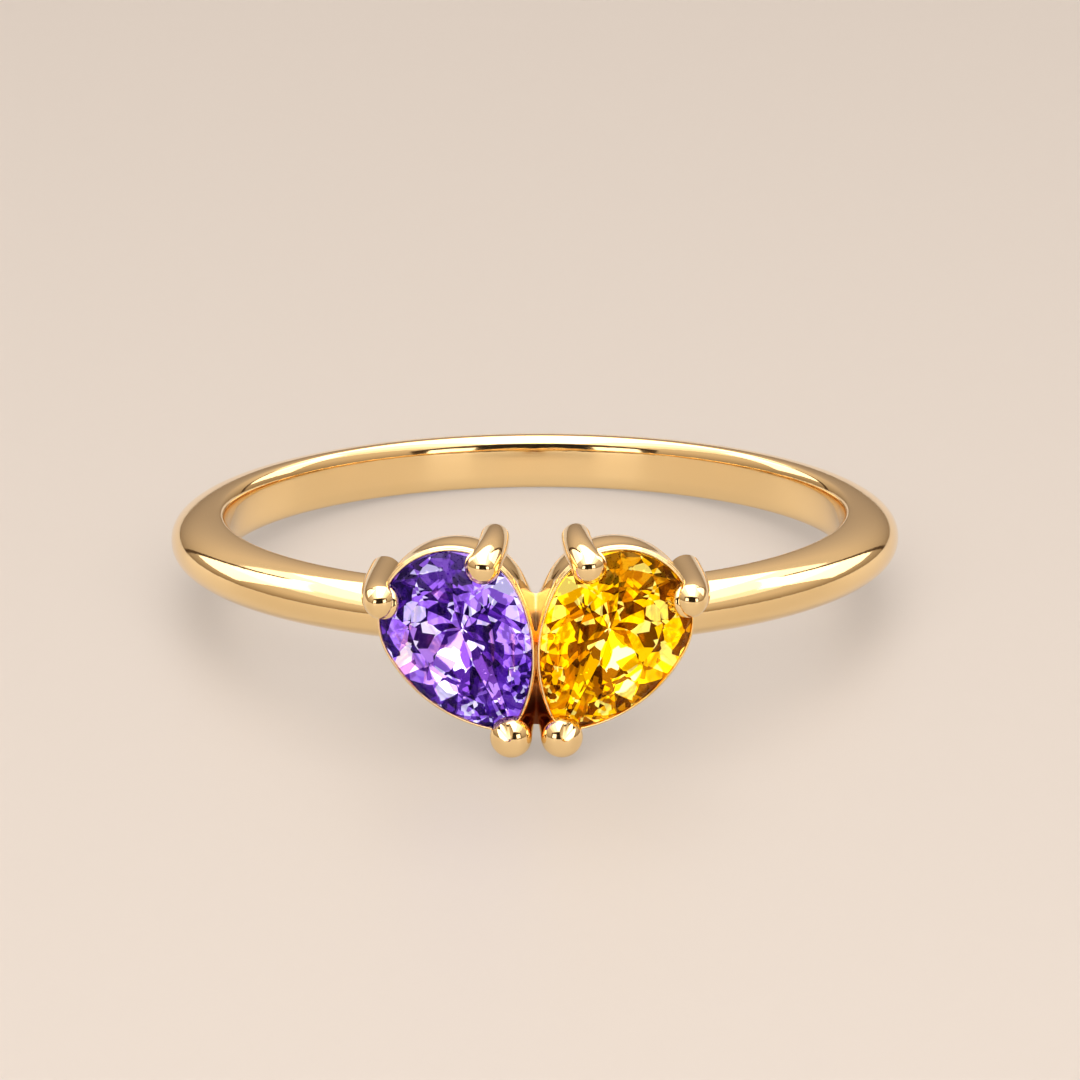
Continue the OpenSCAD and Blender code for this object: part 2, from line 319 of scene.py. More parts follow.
class Nodes:
    """The nodes of one shader tree."""

    def __init__(self, tree):
        self.tree = tree

    def fill(self, node, inputs):
        for key, value in inputs.items():
            socket = node.inputs[key]
            if isinstance(value, Wire):
                self.tree.links.new(value.socket, socket)
            elif hasattr(value, "__len__") and len(value) == 3 and len(socket.default_value) == 4:
                socket.default_value = (*value, 1)
            else:
                socket.default_value = value

    def node(self, kind, settings=None, inputs=None, output=0):
        """Adds a node: its settings first, then the values or links of its sockets."""
        made = self.tree.nodes.new(kind)
        for key, value in (settings or {}).items():
            if key == "stops":
                self.set_stops(made.color_ramp, value)
            elif key == "ramp":
                made.color_ramp.interpolation = value
            else:
                setattr(made, key, value)
        self.fill(made, inputs or {})
        return Wire(self, made.outputs[output])

    def math(self, operation, first, second=0.0):
        return self.node("ShaderNodeMath", {"operation": operation}, {0: first, 1: second})

    @staticmethod
    def set_stops(ramp, stops):
        while len(ramp.elements) < len(stops):
            ramp.elements.new(1)
        for element, (position, value) in zip(ramp.elements, stops):
            element.position = position
            element.color = (*value, 1)

    def mix(self, share, first, second):
        """Colour from the first to the second."""
        return self.node("ShaderNodeMix", {"data_type": "RGBA"}, {0: share, 6: first, 7: second}, output=2)


class Finish(Nodes):
    """One material built round a Principled shader."""

    def __init__(self, name, **sockets):
        self.material = bpy.data.materials.new(name)
        self.material.use_nodes = True
        super().__init__(self.material.node_tree)
        self.shader = self.tree.nodes["Principled BSDF"]
        self.end(**sockets)

    def noise(self, scale, detail=2, squeeze=None):
        """Noise with so many bumps to the metre, times the squeeze along each axis."""
        place = self.node("ShaderNodeTexCoord", output="Object")
        if squeeze:
            place = self.node("ShaderNodeMapping", {}, {"Vector": place, "Scale": squeeze})
        return self.node("ShaderNodeTexNoise", {}, {"Vector": place, "Scale": scale, "Detail": detail})

    def patches(self, x, y, width, height, weight):
        """Patches of that width and height, each with a value of its own from 0 to the weight."""
        spot = self.node("ShaderNodeCombineXYZ", {}, {"X": x * (1 / width), "Y": y * (1 / height)})
        flat = {"voronoi_dimensions": "2D"}
        patch = self.node("ShaderNodeTexVoronoi", flat, {"Vector": spot, "Scale": 1.0}, output="Color")
        return self.node("ShaderNodeSeparateColor", {}, {"Color": patch}, output="Red") * weight

    def place_in(self, fan):
        """X and Y of each place in the fan's own frame."""
        place = self.node("ShaderNodeTexCoord", output="Object")
        away = self.node("ShaderNodeVectorMath", {"operation": "SUBTRACT"}, {0: place, 1: fan.translation})
        along = {"operation": "DOT_PRODUCT"}
        return [
            self.node("ShaderNodeVectorMath", along, {0: away, 1: axis}, output="Value")
            for axis in fan.to_3x3().col[:2]
        ]

    def end(self, **sockets):
        self.fill(self.shader, {key.replace("_", " "): value for key, value in sockets.items()})
        return self.material


class Finishes(bpy.types.PropertyGroup):
    """Colours and polish."""

    gold: colour("Gold", "The polished gold", (0.93, 0.70, 0.37))
    warm_gold: colour("Warm gold", "The gold where it is a little deeper", (0.91, 0.66, 0.32))
    # These three bridge golds are a ramp of painted shade, from the top of its slope down the channel to deep
    # between the point claws
    web_gold: colour("Web gold", "The gold where the bridge meets the rims", (0.80, 0.54, 0.24))
    shaded_gold: colour("Shaded gold", "The gold in the channel between the cups", (0.60, 0.43, 0.27))
    painted_shadow_gold: colour("Dark gold", "The gold deep between the point claws", (0.22, 0.06, 0.02))
    gold_roughness: factor("Gold roughness", "Polish of the gold, 0 is a mirror", 0.07)
    line_contrast: factor("Line contrast", "Change of that polish in the polishing lines", 0.05)
    recess_roughness: factor("Recess roughness", "Polish of the gold between the cups", 0.28)
    unevenness: factor("Unevenness", "Drift of that gold's colour and polish", 0.1)
    # Each stone's four depths of colour are painted light and shade: the darkest are painted shade and the
    # brightest painted highlights
    purple_deep: colour("Deep purple", "Darkest places of that stone", (0.045, 0.01, 0.16))
    purple: colour("Purple", "Middle places of that stone", (0.19, 0.065, 0.42))
    purple_light: colour("Light purple", "Light places of that stone", (0.54, 0.35, 0.84))
    purple_flash: colour("Purple flash", "Brightest places of that stone", (0.86, 0.85, 1.0))
    purple_glass: colour("Purple glass", "Tint of that stone's crown", (0.93, 0.88, 1.0))
    yellow_deep: colour("Deep yellow", "Darkest places of that stone", (0.22, 0.08, 0.002))
    yellow: colour("Yellow", "Middle places of that stone", (0.62, 0.34, 0.0))
    yellow_light: colour("Light yellow", "Light places of that stone", (1.0, 0.72, 0.01))
    yellow_flash: colour("Yellow flash", "Brightest places of that stone", (1.0, 0.94, 0.48))
    yellow_glass: colour("Yellow glass", "Tint of that stone's crown", (1.0, 0.96, 0.70))
    crown_drift: factor("Crown drift", "Drift of the tint of the crowns", 0.35)
    fan_offset: length("Fan offset", "Distance of the flashes' centre from each stone's belly", 0.5)
    # The stones' own light is a painted glow: the facets below the girdle give off light though they are no
    # lamp
    painted_glow: factor("Gem glow", "Light of their own colour from inside the stones", 0.7)
    gem_depth: factor("Gem depth", "Light that the facets below the girdle swallow", 0.3)
    gem_ior: number("Gem IOR", "Index of refraction of the stones", 1.35)


# Layers of the painted flashes on each stone's pavilion, which paint its highlights and shade: the width and
# height of of their patches, and their weight. The fan spreads from a centre, and its width is an angle.
FAN = (23.873 * DEG, 0.5556 * MM, 0.8)
PATCHES = (0.4348 * MM, 0.4348 * MM, 0.5)
FINE_PATCHES = (0.1818 * MM, 0.1818 * MM, 0.9)
TONE_WEIGHT = 0.5


def gold_finish(scene):
    """Polished yellow gold with a faint drift of colour and fine polishing lines."""
    looks = scene.ring_finishes
    finish = Finish("polished_yellow_gold", Metallic=1.0)
    drift = finish.noise(scale=400, detail=3)
    lines = finish.noise(scale=2500, detail=4, squeeze=(1, 1, 12))
    return finish.end(
        Base_Color=finish.mix(drift, looks.gold, looks.warm_gold),
        Roughness=lines * looks.line_contrast + (looks.gold_roughness - looks.line_contrast / 2),
        Normal=finish.node("ShaderNodeBump", {}, {"Strength": 0.03, "Distance": 0.02 * MM, "Height": lines}),
    )


def painted_shade_gold_finish(scene):
    """The same gold with painted shade: darker and redder where the bridge lies deeper between the cups."""
    looks = scene.ring_finishes
    finish = Finish("painted_shade_yellow_gold", Metallic=1.0)
    recess = finish.node("ShaderNodeAttribute", {"attribute_name": "recess"}, output="Fac")
    depth = recess + finish.noise(scale=1500) * looks.unevenness
    # The painted shade by depth, from 0 where the slope meets the front to 1 at the foot
    stops = [
        (0.0, looks.web_gold),
        (0.06, looks.shaded_gold),
        (0.62, looks.shaded_gold),
        (0.85, looks.painted_shadow_gold),
    ]
    return finish.end(
        Base_Color=finish.node("ShaderNodeValToRGB", {"stops": stops}, {"Fac": depth}),
        Roughness=finish.noise(scale=2500, detail=4) * looks.unevenness + looks.recess_roughness,
    )


def crown_finish(scene, tone):
    """Clear tinted glass for the facets above the girdle."""
    looks = scene.ring_finishes
    glass, light = getattr(looks, f"{tone}_glass"), getattr(looks, f"{tone}_light")
    finish = Finish(
        f"{tone}_crown", IOR=looks.gem_ior, Roughness=0.0, Transmission_Weight=1.0, Specular_Tint=light
    )
    return finish.end(Base_Color=finish.mix(finish.noise(scale=900) * looks.crown_drift, glass, light))


def painted_sparkle_pavilion_finish(scene, tone, place):
    """Bright facets below the girdle, broken up into painted flashes of four depths of colour that fan out:
    painted shade, middle colour, painted light and painted highlights.
    """
    looks = scene.ring_finishes
    finish = Finish(f"{tone}_pavilion", Metallic=1.0, Roughness=0.05, Emission_Strength=looks.painted_glow)
    x, y = finish.place_in(place @ Matrix.Translation((0, -looks.fan_offset, 0)))
    turn, reach = finish.math("ARCTAN2", y, x), finish.math("SQRT", x * x + y * y)
    # The fine patches begin below the centre and gain weight towards the stone's point
    span = {"Value": y, "From Min": -0.58333 * MM, "From Max": -2.25 * MM}
    fine = finish.patches(x, y, *FINE_PATCHES) * finish.node("ShaderNodeMapRange", {}, span)
    facet = finish.node("ShaderNodeAttribute", {"attribute_name": "tone"}, output="Fac")
    painted_flashes = facet * TONE_WEIGHT + finish.patches(turn, reach, *FAN) + finish.patches(x, y, *PATCHES) + fine
    # Painted light and shade: each flash takes one of four colours, from painted dark to painted highlight
    stops = [
        (start, getattr(looks, tone + depth))
        for start, depth in ((0.0, "_deep"), (0.27, ""), (0.58, "_light"), (0.84, "_flash"))
    ]
    steps = {"stops": stops, "ramp": "CONSTANT"}
    shade = finish.node("ShaderNodeValToRGB", steps, {"Fac": finish.math("FRACT", painted_flashes)})
    square = {"data_type": "RGBA", "blend_type": "MULTIPLY"}
    return finish.end(
        Base_Color=finish.mix(looks.gem_depth, shade, (0, 0, 0)),
        # Painted glow in the square of each flash's colour
        Emission_Color=finish.node("ShaderNodeMix", square, {0: 1.0, 6: shade, 7: shade}, output=2),
    )


class RING_OT_band(bpy.types.Operator):
    """Make the plain half-round band"""

    bl_idname = "ring.band"
    bl_label = "Band"

    around = 384
    crown_steps = 24
    edge_steps = 8

    def execute(self, context):
        band = context.scene.ring_band
        section = self.section(band)
        points = []
        for r, z in section:
            for a in turns(self.around):
                x, y = r * math.cos(a), r * math.sin(a)
                beside = min(abs(x) / band.dip_width, 1) if y < 0 and z > 0 else 1
                dip = band.dip * (1 + math.cos(math.pi * beside)) / 2
                points.append((x, y, z * (1 - 2 * dip / band.width)))
        faces = grid_faces(len(section), self.around, close_rows=True)
        dress_gold(make_mesh("band", points, faces, ring_to_row()), gold_finish(context.scene))
        return {"FINISHED"}

    def section(self, band):
        """Points of the section as radius and height: a full outside and a flat inside with rounded edges."""
        half = band.width / 2
        edge = band.inside + band.inner_edge
        outside = []
        for i in range(-self.crown_steps, self.crown_steps + 1):
            a = i * math.pi / 2 / self.crown_steps
            out = abs(math.cos(a)) ** (2 / band.fullness)
            up = math.copysign(abs(math.sin(a)) ** (2 / band.fullness), a)
            outside.append((edge + (band.thickness - band.inner_edge) * out, half * up))
        upper = [
            (edge - band.inner_edge * math.sin(a), half - band.edge_height * (1 - math.cos(a)))
            for a in quarter(self.edge_steps)
        ]
        return outside + upper + [(r, -z) for r, z in reversed(upper)]


class CupShape:
    """The walls of one cup, in the cup's own frame."""

    around = 240
    deepest = 3.6 * MM
    rim_steps, wall_steps, seat_steps, lip_steps = 6, 10, 5, 4
    # The groove and the ledge below the rim: the face that each row starts from, how far it is sunk into it
    # as a share of the rim's rounding, and its depth as a share of the rim's height
    ledge = (
        ("rim", 0.0, 0.40),
        ("rim", 0.3, 0.52),
        ("rim", 1.0, 0.62),
        ("rim", 1.0, 0.74),
        ("wall", 0.3, 0.90),
        ("wall", 0.08, 0.96),
        ("wall", 0.0, 1.06),
        ("wall", 0.0, 1.40),
    )

    def __init__(self, scene):
        self.heart, self.cups, self.band = scene.ring_heart, scene.ring_cups, scene.ring_band
        self.pear = Pear(self.heart)
        self.place = cup_to_ring(scene)
        # Radius of the cylinder round the finger on which the backs of the cups and claws lie
        self.radius = self.band.inside + self.band.thickness - self.cups.seat_inset
        self.rounding = self.cups.rim / 2
        self.rim_grow = self.cups.gap + self.cups.rim
        self.wall_grow = self.cups.gap + self.cups.wall
        self.seat_grow = self.cups.gap + self.cups.ease
        self.fixed = self.pear.at(self.cups.straight, self.wall_grow)

    def outside(self, share, grow, depth):
        """Point of the outer wall, which narrows with depth towards its straight side."""
        keep = 1 - self.cups.taper * max(0, depth - self.cups.rim_height) / MM
        p = self.fixed + (self.pear.at(share, grow) - self.fixed) * keep
        return Vector((p.x, p.y, -depth))

    def seat_depth(self, at_depth):
        """Depth below the rim at which a line of the cup's frame meets that cylinder."""
        return halve(0.0, self.deepest, lambda d: math.hypot(*(self.place @ at_depth(d)).xy) > self.radius)

    def outer_rows(self):
        """The rounded rim, the groove below it, the ledge and the wall down to the seat."""
        cups, rounding = self.cups, self.rounding
        faces = {"rim": self.rim_grow, "wall": self.wall_grow}
        profile = [
            (self.rim_grow - rounding * (1 - math.sin(a)), rounding * (1 - math.cos(a)))
            for a in quarter(self.rim_steps)
        ]
        for face, sunk, down in self.ledge:
            profile.append((faces[face] - sunk * rounding, down * cups.rim_height))
        shares = self.pear.shares(self.around)
        rows = [[self.outside(s, grow, depth) for s in shares] for grow, depth in profile]
        start = profile[-1][1]
        backs = [self.seat_depth(lambda depth: self.outside(s, self.wall_grow, depth)) for s in shares]
        for i in range(1, self.wall_steps + 1):
            down = i / self.wall_steps
            grow = self.wall_grow + cups.barrel * (math.sin(math.pi * down) - cups.tuck * down)
            depths = [start + (back - start) * down for back in backs]
            rows.append([self.outside(s, grow, depth) for s, depth in zip(shares, depths)])
        return rows

    def seat_rows(self, outer_back):
        """The back face on the seat cylinder, then the hollow for the stone up to the rim."""
        pear, heart, cups, rounding = self.pear, self.heart, self.cups, self.rounding
        shares = pear.shares(self.around)
        holes = [pear.at(s, self.seat_grow) * cups.culet for s in shares]
        rows = []
        for i in range(1, self.seat_steps + 1):
            spots = [start.xy.lerp(hole, i / self.seat_steps) for start, hole in zip(outer_back, holes)]
            rows.append([Vector((*q, -self.seat_depth(lambda depth: Vector((*q, -depth))))) for q in spots])
        girdle = heart.sink + heart.girdle / 2
        for keep, depth in ((cups.culet, girdle + heart.pavilion), (1, girdle + heart.girdle), (1, rounding)):
            rows.append([Vector((*(pear.at(s, self.seat_grow) * keep), -depth)) for s in shares])
        for a in quarter(self.lip_steps):
            grow = self.seat_grow + (rounding - cups.ease) * (1 - math.cos(a))
            rows.append([Vector((*pear.at(s, grow), -rounding * (1 - math.sin(a)))) for s in shares])
        return rows


class RING_OT_cups(bpy.types.Operator):
    """Make the two cups that hold the stones"""

    bl_idname = "ring.cups"
    bl_label = "Cups"

    def execute(self, context):
        shape = CupShape(context.scene)
        outer = shape.outer_rows()
        rows = outer + shape.seat_rows(outer[-1])
        points = [p for row in rows for p in row]
        faces = grid_faces(len(rows), shape.around, close_rows=True)
        material = gold_finish(context.scene)
        for tone, mirror in SIDES.items():
            piece = make_mesh(f"{tone}_cup", points, faces, ring_to_row() @ mirror @ shape.place)
            dress_gold(piece, material)
        return {"FINISHED"}


class BridgeSizes(bpy.types.PropertyGroup):
    """Sizes of the bridge between the cups."""

    top_back: length("Top back", "Height of its top at the back", 0.3)
    crest: length("Crest", "Height of its crest", 1.15)
    crest_depth: length("Crest depth", "Depth of its crest below the rims", 0.7)
    top_front: length("Top front", "Height at which its slope meets its front", 0.64)
    bend: length("Bend", "Height at which its front starts to slope back", -0.8)
    foot: length("Foot", "Height of its lowest end", -2.62)
    front: length("Front depth", "Depth of its front below the rims", 0.45)
    foot_front: length("Foot depth", "Depth of its foot below the rims", 1.55)
    rounding: length("Rounding", "Length over which its slope rounds into its front", 0.22)
    hollow: number("Hollow", "Steepness of the groove down its face", 2.5)
    groove: length("Groove", "Most depth of that groove", 0.75)
    softness: factor("Softness", "Rounding of the groove's bottom as a share of its half width", 0.25)


class RING_OT_bridge(bpy.types.Operator):
    """Make the bridge that joins the two cups"""

    bl_idname = "ring.bridge"
    bl_label = "Bridge"

    across = 40
    top_steps, slope_steps, round_steps, front_steps, foot_steps = 8, 12, 16, 12, 20
    # The groove's edge is found in so many rounds, on the cup's wall up to this share of the pear
    edge_rounds, highest_share = 4, 0.75
    # Where the painted shade on its sides begins, as a share of its half width, and how fast it darkens from
    # there
    side_start, side_shade = 0.75, 2.8

    def execute(self, context):
        scene = context.scene
        sizes = scene.ring_bridge
        shape = CupShape(scene)
        rim = shape.band.inside + shape.band.thickness + shape.heart.rise
        back = rim - shape.radius + shape.cups.seat_inset / 2
        face = self.face_profile(sizes, back)
        rows = [
            [Vector((x, depth - rim, height)) for x, depth, height in self.row(sizes, shape, face, i)]
            for i in range(len(face))
        ]
        rows += [[Vector((p.x, back - rim, p.z)) for p in rows[i]] for i in (-1, 0)]
        columns = self.across + 1
        points = [p for row in rows for p in row]
        faces = grid_faces(len(rows), columns, close_rows=True, close_columns=False)
        faces.append(tuple(r * columns for r in range(len(rows))))
        faces.append(tuple(r * columns + columns - 1 for r in reversed(range(len(rows)))))
        piece = make_mesh("bridge", points, faces, ring_to_row())
        # Painted shade: a value per point that darkens the gold towards the bridge's foot and its sides
        recess = piece.data.attributes.new("recess", "FLOAT", "POINT")
        fall = sizes.top_front - sizes.foot
        for i, (vertex, p) in enumerate(zip(recess.data, points)):
            beside = abs(2 * (i % columns) / self.across - 1)
            vertex.value = max((sizes.top_front - p.z) / fall, self.side_shade * (beside - self.side_start))
        dress_gold(piece, painted_shade_gold_finish(scene))
        return {"FINISHED"}

    def face_profile(self, sizes, back):
        """Middle line of the bridge's top and front, as depths below the rims and heights."""
        crest = Vector((sizes.crest_depth, sizes.crest))
        corner = Vector((sizes.front, sizes.top_front))
        top = corner + (crest - corner).normalized() * sizes.rounding
        low = corner - Vector((0, sizes.rounding))
        bend, foot = Vector((sizes.front, sizes.bend)), Vector((sizes.foot_front, sizes.foot))

        def line(start, end, steps):
            return [start.lerp(end, i / steps) for i in range(steps)]

        points = line(Vector((back, sizes.top_back)), crest, self.top_steps)
        points += line(crest, top, self.slope_steps)
        points += [curve(top, corner, low, i / self.round_steps) for i in range(self.round_steps)]
        points += line(low, bend, self.front_steps)
        return points + line(bend, foot, self.foot_steps) + [foot]

    def row(self, sizes, shape, face, i):
        """Points across the grooved face at one place of its middle line: sideways, depth and height."""
        here, before, after = face[i], face[max(i - 1, 0)], face[min(i + 1, len(face) - 1)]
        out = Vector((before.y - after.y, min(after.x - before.x, 0))).normalized()
        sag = 0.0
        for _ in range(self.edge_rounds):
            edge = here - out * sag
            edge.x = max(edge.x, shape.cups.rim_height)
            half = self.wall_x(shape, *edge)
            sag = min(sizes.hollow * half, sizes.groove * min(1, i / self.top_steps))
        soft = sizes.softness
        points = []
        for j in range(self.across + 1):
            t = 2 * j / self.across - 1
            lift = (math.hypot(t, soft) - soft) / (math.hypot(1, soft) - soft)
            points.append((half * t, *here.lerp(edge, lift)))
        return points

    def wall_x(self, shape, depth, height):
        """Sideways distance from the middle to the inside of the cup's wall at that depth and height."""
        grow = shape.cups.gap + shape.cups.wall / 2

        def wall(share):
            return shape.place @ shape.outside(share, grow, depth)

        return abs(wall(halve(0.0, self.highest_share, lambda share: wall(share).z < height)).x)


class ClawSizes(bpy.types.PropertyGroup):
    """Sizes of the six claws."""

    outer_radius: length("Outer radius", "Radius of the outer claws' tips", 0.45)
    inner_radius: length("Inner radius", "Radius of the inner claws' tips", 0.44)
    point_radius: length("Point radius", "Radius of the point claws", 0.55)
    outer_turn: angle("Outer place", "Place of the outer claw, from the stone's point", -135)
    inner_turn: angle("Inner place", "Place of the inner claw, from the stone's point", 119)
    point_turn: angle("Point place", "Place of the point claw, from the stone's point", -1)
    point_dome: length("Point dome", "Height of the point claw's dome", 0.45)
    reach: length("Reach", "Height of the tips above the rim", 0.637)
    outer_pad: length("Outer pad", "Radius of the pad under each outer claw's tip", 0.45)
    inner_pad: length("Inner pad", "Radius of the pad under each inner claw's tip", 0.47)
    pad_slope: angle("Pad slope", "Lean of the pads, which lie on the crown", 34)
    scoop_turn: angle("Scoop turn", "Direction of the scoop in each point claw, round the stone", 88)
    scoop_lift: angle("Scoop lift", "Lift of the scoop's axis out of the claw", 34)
    scoop_width: angle("Scoop width", "Half the opening of the scoop", 52.7)
    ripples: factor("Ripples", "Depth of the scoop's flutes as a share of its width", 0.025)


def beside_stone(turn, distance, height):
    """Point at a distance from the belly, turned from the stone's point."""
    return Vector((distance * math.sin(turn), -distance * math.cos(turn), height))


def round_body(name, stations, place, around=56):
    """A closed body through rings, each with a centre, a direction and a radius. The ends have no radius."""
    points = [stations[0][0]]
    for centre, along, radius in stations[1:-1]:
        across = Vector((1, 0, 0)).cross(along).normalized()
        up = across.cross(along).normalized()
        points += [centre + (across * math.cos(a) + up * math.sin(a)) * radius for a in turns(around)]
    points.append(stations[-1][0])
    last = len(points) - 1
    faces = [tuple(1 + i for i in face) for face in grid_faces(len(stations) - 2, around)]
    faces += [(0, 1 + (k + 1) % around, 1 + k) for k in range(around)]
    faces += [(last, last - around + k, last - around + (k + 1) % around) for k in range(around)]
    return make_mesh(name, points, faces, place)


def rounded_end(centre, along, radius, bulge, steps=12):
    """Rings of a rounded end, from its pole to its full radius. A bulge below 0 points back."""
    rings = [(centre + along * bulge, along, 0)]
    for a in quarter(steps):
        rings.append((centre + along * bulge * math.cos(a), along, radius * math.sin(a)))
    return rings


class RING_OT_claws(bpy.types.Operator):
    """Make the six claws"""

    bl_idname = "ring.claws"
    bl_label = "Claws"

    deepest = 3.2 * MM
    # Degrees past each prong's place, millimetres outside the stone and millimetres above the rim
    prongs = {
        "outer": {"back": (0, 0.16, -3.2), "bend": (0, 0.30, -0.15), "tip": (0, 0.03), "pad": (0, -0.10)},
        "inner": {"back": (3, 0.15, -2.0), "bend": (2, 0.225, -0.50), "tip": (4, -0.16), "pad": (4, -0.14)},
    }
    pad_thickness = {"outer": 0.24 * MM, "inner": 0.08 * MM}
    # Distances of the point claw's back and front outside the stone's point
    point_back, point_front = 0.04 * MM, 0.13 * MM
    # Radius of each claw's back, as a share of its own
    back_width = {"outer": 1.05, "inner": 0.9, "point": 0.93}
    # How far the centre of a prong's tip lies below the claws' reach and how high it is domed, in radii,
    # and where the scoop starts, as a share of the point claw's dome
    tip_depth, tip_dome, scoop_start = 0.95, 0.85, 0.86
    bend_steps, pad_steps, dome_steps = 16, 8, 18
    point_around, scoop_around, seat_around, flutes = 96, 144, 256, 12

    def execute(self, context):
        scene = context.scene
        self.claws = scene.ring_claws
        self.shape = CupShape(scene)
        material = gold_finish(scene)
        for tone, mirror in SIDES.items():
            place = ring_to_row() @ mirror @ self.shape.place
            for kind in ("outer", "inner", "point"):
                name = f"{tone}_{kind}_claw"
                piece = self.prong(name, place, kind) if kind in self.prongs else self.point(name, place)
                combine(piece, [self.seat_cutter(), self.stone_cutter(place)], "DIFFERENCE")
                dress_gold(piece, material, 30)
        return {"FINISHED"}

    def prong(self, name, place, kind):
        """A prong along a bent path, back to front, and the pad that it presses on the stone."""
        radius, width, spots = getattr(self.claws, f"{kind}_radius"), self.back_width[kind], self.prongs[kind]
        back, bend = self.beside(kind, *spots["back"]), self.beside(kind, *spots["bend"])
        tip = self.beside(kind, *spots["tip"], (self.claws.reach - self.tip_depth * radius) / MM)
        stations = []
        for i in range(self.bend_steps + 1):
            t = i / self.bend_steps
            along = ((bend - back) * (1 - t) + (tip - bend) * t).normalized()
            stations.append((curve(back, bend, tip, t), along, radius * (width * (1 - t) + t)))
        tail = rounded_end(*stations[0], -stations[0][2])
        front = rounded_end(*stations[-1], radius * self.tip_dome)
        piece = round_body(name, tail + stations[1:-1] + front[::-1], place)
        combine(piece, [self.pad(place, kind)], "UNION")
        return piece

    def beside(self, kind, past, out, up):
        """Place of a prong: degrees past its own, millimetres outside the stone and above the rim."""
        turn = getattr(self.claws, f"{kind}_turn") + past * DEG
        return beside_stone(turn, self.shape.pear.belly + out * MM, up * MM)

    def pad(self, place, kind):
        """A disc with a round edge that lies on the crown's slope."""
        slope, (past, out) = self.claws.pad_slope, self.prongs[kind]["pad"]
        radius, thickness = getattr(self.claws, f"{kind}_pad"), self.pad_thickness[kind]
        middle = self.beside(kind, past, out, -out * math.tan(slope))
        along = Vector((middle.x, middle.y, 0)).normalized() * math.sin(slope)
        along.z = math.cos(slope)
        root, edge = middle - along * 2 * thickness, thickness / 2
        rings = [(root, along, 0), (root, along, radius - edge)]
        for i in range(self.pad_steps + 1):
            a = math.pi * i / self.pad_steps
            centre = middle + along * edge * (1 - math.cos(a))
            rings.append((centre, along, radius - edge * (1 - math.sin(a))))
        rings.append((middle + along * thickness, along, 0))
        return round_body("pad", rings, place)

    def point(self, name, place):
        """A straight claw at the stone's point, with a scoop in its dome."""
        claws, point, up = self.claws, self.shape.pear.point, Vector((0, 0, 1))
        back = beside_stone(claws.point_turn, point + self.point_back, -self.deepest)
        front = beside_stone(claws.point_turn, point + self.point_front, claws.reach - claws.point_dome)
        stations = [(back, up, 0), (back, up, claws.point_radius * self.back_width["point"])]
        stations += rounded_end(front, up, claws.point_radius, claws.point_dome, self.dome_steps)[::-1]
        piece = round_body(name, stations, place, self.point_around)
        start = Matrix.Translation(front + up * claws.point_dome * self.scoop_start)
        combine(piece, [self.scoop(place @ start)], "DIFFERENCE")
        return piece

    def scoop(self, apex):
        """Cutter for the fluted hollow that fans out over the stone from the claw's middle."""
        claws, around, reach = self.claws, self.scoop_around, 2 * self.claws.point_radius
        axis = Vector((math.cos(claws.scoop_lift), 0, math.sin(claws.scoop_lift)))
        axis = Matrix.Rotation(claws.scoop_turn, 3, "Z") @ axis
        across = Vector((0, 0, 1)).cross(axis).normalized()
        up = axis.cross(across)
        points = [Vector((0, 0, 0))]
        for a in turns(around):
            wide = math.tan(claws.scoop_width) * (1 + claws.ripples * math.cos(a * self.flutes))
            points.append((axis + (across * math.cos(a) + up * math.sin(a)) * wide) * reach)
        points.append(axis * reach)
        faces = []
        for k in range(around):
            a, b = 1 + k, 1 + (k + 1) % around
            faces += [(0, a, b), (around + 1, b, a)]
        return make_mesh("scoop", points, faces, apex)

    def seat_cutter(self):
        """Cylinder round the finger that ends the backs of the claws."""
        radius, half, circle = self.shape.radius, 10 * MM, turns(self.seat_around)
        points = [(radius * math.cos(a), radius * math.sin(a), z) for z in (-half, half) for a in circle]
        return make_mesh("seat", points, capped_faces(2, self.seat_around), ring_to_row())

    def stone_cutter(self, place):
        """The stone with its clearance, so that no claw enters it."""
        stone = cut_stone(self.shape.heart, self.shape.cups.gap)
        stone.transform(place)
        return add("clearance", stone)


